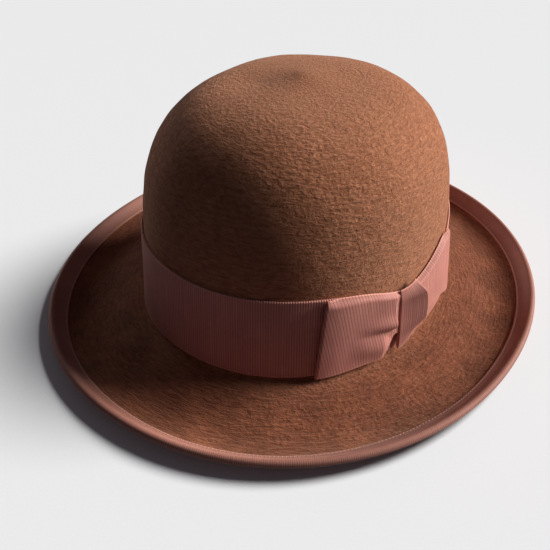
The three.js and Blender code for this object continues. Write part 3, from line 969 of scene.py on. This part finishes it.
def tip_guard():
    """The clear patch sewn over the middle of the tip lining."""
    angle = round_hat(240)[None, :]
    shares = crown_shares(70)
    share = np.append(shares[shares > TIP_GUARD_EDGE + 0.003], TIP_GUARD_EDGE)[:, None]
    inset = LINING_INSET + SATIN + 0.55
    back = on_dome(angle, inset, share + 0 * angle)
    ripple = 0.12 * waves(on_dome(angle, 0, share), 18, 35) * (1 - crown_at_tip(share))
    front = on_dome(angle, inset + 0.35 + ripple, share)
    arcs = np.linspace(0, HEAD_ROUND / 2, angle.shape[1] + 1)
    sheet("tip_film", front, back, arcs, walked(back[:, 0]), film, ["tip_guard"], True, True)


def size_ticket():
    """A paper tab tucked against the sweatband, a little curled along its length."""
    angle = np.linspace(BACK_ANGLE + 12, BACK_ANGLE + 24, 40)[None, :]
    rows = np.linspace(0, 1, 24)[:, None]
    rise = blend(10, 22, rows) + 0 * angle
    curl = 0.5 * rows**3 + 0.25 * np.sin(np.radians(angle - BACK_ANGLE) * 9)
    front = on_crown(angle, INSIDE_FACE - 0.3 - curl, rise)
    back = on_crown(angle, INSIDE_FACE - 0.05 - curl, rise)
    sheet("ticket", front, back, angle[0], rise[:, 0], paper, ["size_tab"])


def inner_bow_half(name, node_name, side):
    """One half of the small flat bow over the sweatband's seam, pinched where it meets the knot."""
    near, far = 0.8, 8.0
    first, last = sorted(arc_at(BACK_ANGLE + side * reach) for reach in (near, far))
    arcs, ribs = along_hat(last - first, INNER_RIB, first, 6)
    angle = angle_at(arcs)[None, :]
    away = np.abs(angle - BACK_ANGLE) / far
    rows = cross_rows(18)[:, None]
    half = blend(1.9, 4, away)
    rise = INNER_BOW_RISE + rows * half
    folds = 0.35 * (1 - away) * np.cos(3 * np.pi * rows)
    out = INSIDE_FACE - 0.5 - 0.55 * np.sin(np.pi * np.clip(away, 0, 1)) + folds
    middle = on_crown(angle, out, rise)
    inwards = (1 - np.abs(rows)) * 4 + 0 * angle
    phase = np.broadcast_to(ribs, inwards.shape)
    ribbon_sheet(name, node_name, middle, phase, inwards, inner_ribbon, 0.1)


def inner_bow_knot():
    half_length, half_width = 2.3, 2.7
    arcs, ribs = along_hat(2 * half_length, INNER_RIB, arc_at(BACK_ANGLE) - half_length, 6)
    angle = angle_at(arcs)[None, :]
    rows = cross_rows(18)[:, None]
    rise = INNER_BOW_RISE + rows * half_width
    across = (arcs - arcs.mean())[None, :] / half_length
    out = INSIDE_FACE - 1.6 + 0.8 * across**4 + 0.9 * rows**6
    middle = on_crown(angle, out, rise)
    inwards = (1 - np.abs(rows)) * half_width + 0 * angle
    phase = np.broadcast_to(ribs, inwards.shape)
    ribbon_sheet("inner_bow_knot", "back_bow_knot", middle, phase, inwards, inner_ribbon, 0.1)


side_lining()
tip_lining()
tip_guard()
seam = on_dome(round_hat(CORD_COLUMNS), LINING_INSET + CORD_RADIUS, np.full(CORD_COLUMNS, LINING_SEAM))
cord("piping_cord", "lining_piping", seam, CORD_RADIUS, satin)
sweatband()
sweatband_stitches("sweatband_stitches_foot", 3.2)
sweatband_stitches("sweatband_stitches_top", SWEATBAND_TOP - 1.9)
reed_line = oval(round_hat(CORD_COLUMNS), -FELT - GAP - CORD_RADIUS, BREAK_HEIGHT - FELT + CORD_RADIUS)
cord("reed_cover", "sweatband_reed", reed_line, CORD_RADIUS, reed)
size_ticket()
inner_bow_half("inner_bow_left", "back_bow_left", -1)
inner_bow_half("inner_bow_right", "back_bow_right", 1)
inner_bow_knot()


# ---------------------------------------------------------------- camera, light and floor

TARGET = Vector((0, 0, (50 + BREAK_HEIGHT) * MM))
AZIMUTH, ELEVATION, ROLL = math.radians(34), math.radians(31.6), math.radians(1.16)
CAMERA_DISTANCE, LENS, SHIFT = 0.437, 47.6, (-0.045, -0.135)
FLOOR_REACH = 4.0


def place_camera():
    level = math.cos(ELEVATION)
    back = Vector((math.sin(AZIMUTH) * level, -math.cos(AZIMUTH) * level, math.sin(ELEVATION)))
    right = Vector((math.cos(AZIMUTH), math.sin(AZIMUTH), 0))
    up = back.cross(right)
    x_axis = math.cos(ROLL) * right + math.sin(ROLL) * up
    y_axis = math.cos(ROLL) * up - math.sin(ROLL) * right
    axes = Matrix((x_axis, y_axis, back)).transposed().to_4x4()
    camera = bpy.data.objects.new("camera", bpy.data.cameras.new("camera"))
    camera.matrix_world = Matrix.Translation(TARGET + back * CAMERA_DISTANCE) @ axes
    camera.data.lens = LENS
    camera.data.sensor_width = 36
    camera.data.shift_x, camera.data.shift_y = SHIFT
    bpy.context.scene.collection.objects.link(camera)
    bpy.context.scene.camera = camera


def lay_floor():
    """A pale floor that doesn't throw its own light up onto the hat."""
    corners = [(x * FLOOR_REACH, y * FLOOR_REACH, 0) for x, y in ((-1, -1), (1, -1), (1, 1), (-1, 1))]
    mesh = bpy.data.meshes.new("floor")
    mesh.from_pydata(corners, [], [(0, 1, 2, 3)])
    mesh.materials.append(floor_material())
    floor = bpy.data.objects.new("floor", mesh)
    bpy.context.scene.collection.objects.link(floor)
    floor.visible_diffuse = False
    floor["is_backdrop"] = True
    return floor


def sun(name, azimuth, elevation, strength, softness, colour=(1, 1, 1)):
    """A lamp far away. Its azimuth is anticlockwise from +X, and its softness the width of its disc."""
    lamp = bpy.data.lights.new(name, "SUN")
    lamp.energy, lamp.angle, lamp.color = strength, math.radians(softness), colour
    made = bpy.data.objects.new(name, lamp)
    a, e = math.radians(azimuth), math.radians(elevation)
    towards = Vector((math.cos(a) * math.cos(e), math.sin(a) * math.cos(e), math.sin(e)))
    made.rotation_euler = towards.to_track_quat("Z", "Y").to_euler()
    bpy.context.scene.collection.objects.link(made)
    return made


def lights_only(lamp, objects):
    """Keeps a lamp's light to some of the objects."""
    group = bpy.data.collections.new(lamp.name + "_lights")
    for lit in objects:
        group.objects.link(lit)
    lamp.light_linking.receiver_collection = group


def surround():
    """A faint cool light from all round, and a pale grey where the camera sees past the floor."""
    world = bpy.data.worlds.new("world")
    world.use_nodes = True
    bpy.context.scene.world = world
    tree = world.node_tree
    seen = tree.nodes["Background"]
    seen.inputs["Color"].default_value = (0.87, 0.87, 0.87, 1)
    fill = node(tree, "Background", {"Color": (0.9, 0.85, 1.0, 1), "Strength": 0.065})
    path = node(tree, "LightPath")
    shaders = {0: path.outputs["Is Camera Ray"], 1: fill.outputs[0], 2: seen.outputs[0]}
    mixed = node(tree, "MixShader", shaders)
    tree.links.new(mixed.outputs[0], tree.nodes["World Output"].inputs["Surface"])


place_camera()
floor = lay_floor()
hat_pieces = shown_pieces()
lights_only(sun("key", 49, 25, 6.6, 30, (1, 0.96, 0.9)), hat_pieces)
lights_only(sun("rim", 160, 10, 0.7, 20, (1, 0.93, 0.85)), hat_pieces)
lights_only(sun("floor_key", 52, 46, 4.05, 26), [floor])
surround()

bpy.context.scene.view_settings.view_transform = "Standard"
